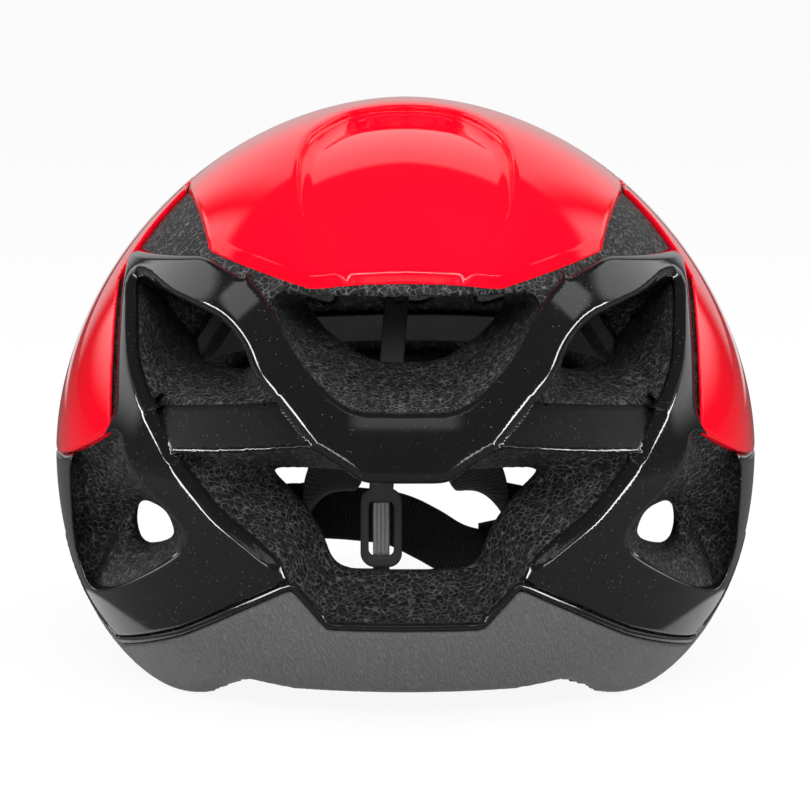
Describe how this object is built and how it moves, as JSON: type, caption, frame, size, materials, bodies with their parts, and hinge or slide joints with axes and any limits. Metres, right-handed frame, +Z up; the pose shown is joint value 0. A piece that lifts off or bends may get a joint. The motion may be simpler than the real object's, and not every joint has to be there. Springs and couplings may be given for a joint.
{
  "type": "cycling helmet",
  "caption": "Road cycling helmet: foam liner under gloss moulded shells, rear vents framed by a V, a dial fit system with geared paddles, and chin straps with cam levers and a buckle.",
  "frame": {"origin": "centre of the head at the height of the headband", "axes": "+X is the rider's right, +Y is forward, +Z is up"},
  "size_m": [0.2136, 0.2814, 0.1662],
  "materials": {
    "eps_foam": "dark bead foam with the beads showing",
    "red_shell": "deep red with a clear gloss coat",
    "black_shell": "piano black gloss",
    "band": "satin dark grey with a fine line texture",
    "fit_plastic": "moulded black nylon, satin",
    "pin_plastic": "turned acetal, grey",
    "pad_fabric": "brushed knit over foam",
    "steel": "plain steel",
    "grip_rubber": "soft matt rubber",
    "rack_plastic": "natural acetal",
    "webbing": "black woven webbing with crosswise ribs",
    "strap_plastic": "moulded black acetal"
  },
  "bodies": {
    "helmet": {"eps_liner": "eps_foam", "crown_shell": "red_shell", "side_shell_left": "red_shell", "side_shell_right": "red_shell", "rear_frame": "black_shell", "rim_band": "band", "seam_trim": "black_shell", "rear_arm": "fit_plastic", "arm_rivet": "fit_plastic", "temple_plates": "fit_plastic", "temple_pins": "pin_plastic", "headband": "fit_plastic", "brow_pad": "pad_fabric", "crown_pad": "pad_fabric", "side_pad_left": "pad_fabric", "side_pad_right": "pad_fabric", "pad_dots": "pad_fabric", "front_anchors": "strap_plastic", "rear_anchors": "strap_plastic", "front_strap_left": "webbing", "front_strap_right": "webbing", "rear_strap_left": "webbing", "rear_strap_right": "webbing", "chin_strap_left": "webbing", "chin_strap_right": "webbing", "divider_left": "strap_plastic", "divider_right": "strap_plastic", "lever_pins": "steel", "buckle_socket": "strap_plastic"},
    "cradle": {"cradle_base": "fit_plastic", "cradle_cover": "fit_plastic", "cover_screws": "steel", "yoke_arm_left": "fit_plastic", "yoke_arm_right": "fit_plastic"},
    "dial": {"dial_shaft": "steel", "adjuster_dial": "fit_plastic", "dial_grip": "grip_rubber"},
    "left_rack": {"rack_left": "rack_plastic", "paddle_left": "fit_plastic", "nape_pad_left": "pad_fabric"},
    "right_rack": {"rack_right": "rack_plastic", "paddle_right": "fit_plastic", "nape_pad_right": "pad_fabric"},
    "left_lever": {"lever_left": "strap_plastic"},
    "right_lever": {"lever_right": "strap_plastic"},
    "clip": {"buckle_clip": "strap_plastic"}
  },
  "joints": [
    {"name": "cradle_height", "type": "hinge", "parent": "helmet", "child": "cradle", "pos_m": [0, 0.032, 0.008], "axis": [1, 0, 0], "range_deg": [0, 12]},
    {"name": "dial_turn", "type": "hinge", "parent": "cradle", "child": "dial", "pos_m": [0, -0.0954, -0.038], "axis": [0, 1, 0], "range_deg": [0, 95]},
    {"name": "rack_left", "type": "slide", "parent": "cradle", "child": "left_rack", "axis": [1, 0, 0], "range_m": [0, 0.0083]},
    {"name": "rack_right", "type": "slide", "parent": "cradle", "child": "right_rack", "axis": [-1, 0, 0], "range_m": [0, 0.0083]},
    {"name": "lever_left", "type": "hinge", "parent": "helmet", "child": "left_lever", "pos_m": [-0.04145, 0.02, -0.026], "axis": [0, 0, 1], "range_deg": [0, 100]},
    {"name": "lever_right", "type": "hinge", "parent": "helmet", "child": "right_lever", "pos_m": [0.04145, 0.02, -0.026], "axis": [0, 0, -1], "range_deg": [0, 100]},
    {"name": "buckle_release", "type": "slide", "parent": "helmet", "child": "clip", "axis": [0, 0, 1], "range_m": [0, 0.018]}
  ],
  "couplings": [
    {"joint": "rack_left", "follows": "dial_turn", "m_per_rad": 0.005},
    {"joint": "rack_right", "follows": "dial_turn", "m_per_rad": 0.005}
  ]
}
